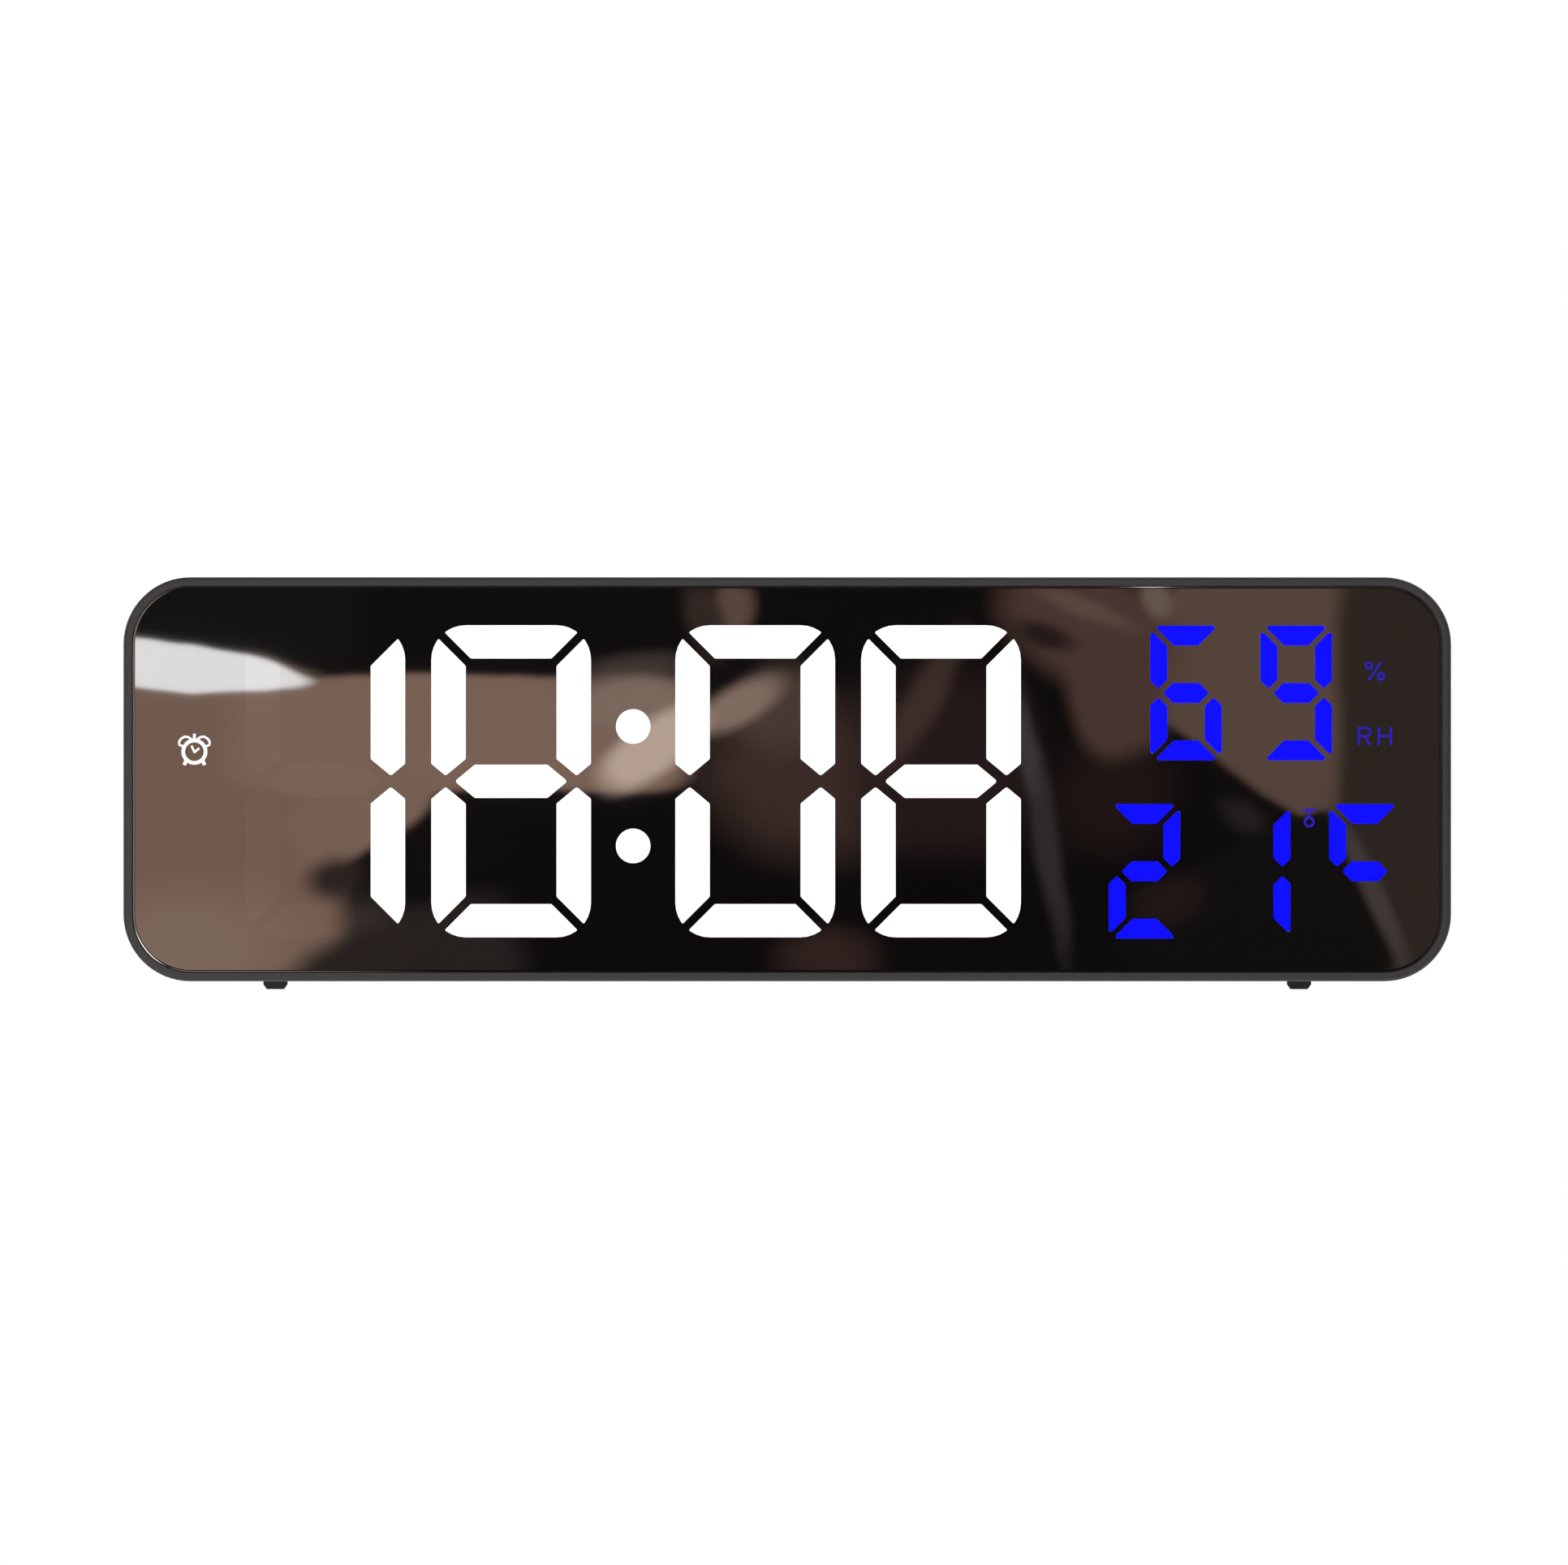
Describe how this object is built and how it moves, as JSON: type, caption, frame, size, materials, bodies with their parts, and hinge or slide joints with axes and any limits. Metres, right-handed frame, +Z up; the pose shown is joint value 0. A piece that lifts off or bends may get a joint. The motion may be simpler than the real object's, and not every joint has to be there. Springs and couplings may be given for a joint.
{
  "type": "digital wall clock",
  "caption": "Flat rounded wall clock with a half-mirror face, lit segment figures for time, humidity and temperature, keyhole hangers, fold-out legs and a battery bay.",
  "frame": {"origin": "middle of the flat rear face that lies on the wall", "axes": "+Y into the wall, +X along the case to the viewer's right, +Z up"},
  "size_m": [0.23, 0.026, 0.0715],
  "materials": {
    "case_plastic": "fine-grained dark grey moulding",
    "half_mirror_acrylic": "polished acrylic with a half-mirror film",
    "foam_tape": "double-sided foam",
    "black_film": "matt black film",
    "milky_white": "milky light guide, lit white",
    "milky_blue": "milky light guide, lit blue",
    "white_plastic": "white moulding",
    "circuit_board": "solder mask over glass fibre",
    "steel": "zinc plated",
    "socket_steel": "plated shell",
    "button_rubber": "soft matt",
    "black_plastic": "black moulding",
    "cell_foil": "plain foil wrap",
    "red_insulation": "soft insulation",
    "black_insulation": "soft insulation",
    "ribbon_plastic": "flat ribbon"
  },
  "bodies": {
    "case": {"front_frame": "case_plastic", "rear_housing": "case_plastic", "mirror_lens": "half_mirror_acrylic", "lens_tape": "foam_tape", "mask_plate": "black_film", "hours_tens": "milky_white", "hours_units": "milky_white", "minutes_tens": "milky_white", "minutes_units": "milky_white", "colon_dots": "milky_white", "alarm_sign": "milky_white", "humidity_tens": "milky_blue", "humidity_units": "milky_blue", "temperature_tens": "milky_blue", "temperature_units": "milky_blue", "temperature_scale": "milky_blue", "humidity_sign": "milky_blue", "degree_sign": "milky_blue", "reflector_block": "white_plastic", "display_board": "circuit_board", "key_board": "circuit_board", "power_board": "circuit_board", "climate_sensor": "circuit_board", "board_screw_1": "steel", "case_screw_1": "steel", "board_screw_2": "steel", "case_screw_2": "steel", "board_screw_3": "steel", "case_screw_3": "steel", "board_screw_4": "steel", "case_screw_4": "steel", "key_board_screw_1": "steel", "key_board_screw_2": "steel", "positive_contact": "steel", "negative_contact": "steel", "bridge_contact": "steel", "leg_pin_left": "steel", "leg_pin_right": "steel", "usb_socket": "socket_steel", "buzzer": "black_plastic", "battery_1": "cell_foil", "battery_2": "cell_foil", "battery_wire_red": "red_insulation", "battery_wire_black": "black_insulation", "key_ribbon": "ribbon_plastic"},
    "door": {"battery_door": "case_plastic"},
    "set_key": {"set_button": "button_rubber", "set_plunger": "black_plastic"},
    "mode_key": {"mode_button": "button_rubber", "mode_plunger": "black_plastic"},
    "up_key": {"up_button": "button_rubber", "up_plunger": "black_plastic"},
    "down_key": {"down_button": "button_rubber", "down_plunger": "black_plastic"},
    "left_leg": {"leg_left": "case_plastic"},
    "right_leg": {"leg_right": "case_plastic"}
  },
  "joints": [
    {"name": "door_hinge", "type": "hinge", "parent": "case", "child": "door", "pos_m": [0.037, -0.0009, -0.02665], "axis": [-1, 0, 0], "range_deg": [0, 75]},
    {"name": "left_leg_hinge", "type": "hinge", "parent": "case", "child": "left_leg", "pos_m": [-0.089, -0.0018, 0.008], "axis": [1, 0, 0], "range_deg": [0, 30]},
    {"name": "right_leg_hinge", "type": "hinge", "parent": "case", "child": "right_leg", "pos_m": [0.089, -0.0018, 0.008], "axis": [1, 0, 0], "range_deg": [0, 30]},
    {"name": "set_press", "type": "slide", "parent": "case", "child": "set_key", "axis": [0, -1, 0], "range_m": [0, 0.0005], "stiffness_N_per_m": 200, "springref_m": -0.0005},
    {"name": "mode_press", "type": "slide", "parent": "case", "child": "mode_key", "axis": [0, -1, 0], "range_m": [0, 0.0005], "stiffness_N_per_m": 200, "springref_m": -0.0005},
    {"name": "up_press", "type": "slide", "parent": "case", "child": "up_key", "axis": [0, -1, 0], "range_m": [0, 0.0005], "stiffness_N_per_m": 200, "springref_m": -0.0005},
    {"name": "down_press", "type": "slide", "parent": "case", "child": "down_key", "axis": [0, -1, 0], "range_m": [0, 0.0005], "stiffness_N_per_m": 200, "springref_m": -0.0005}
  ]
}
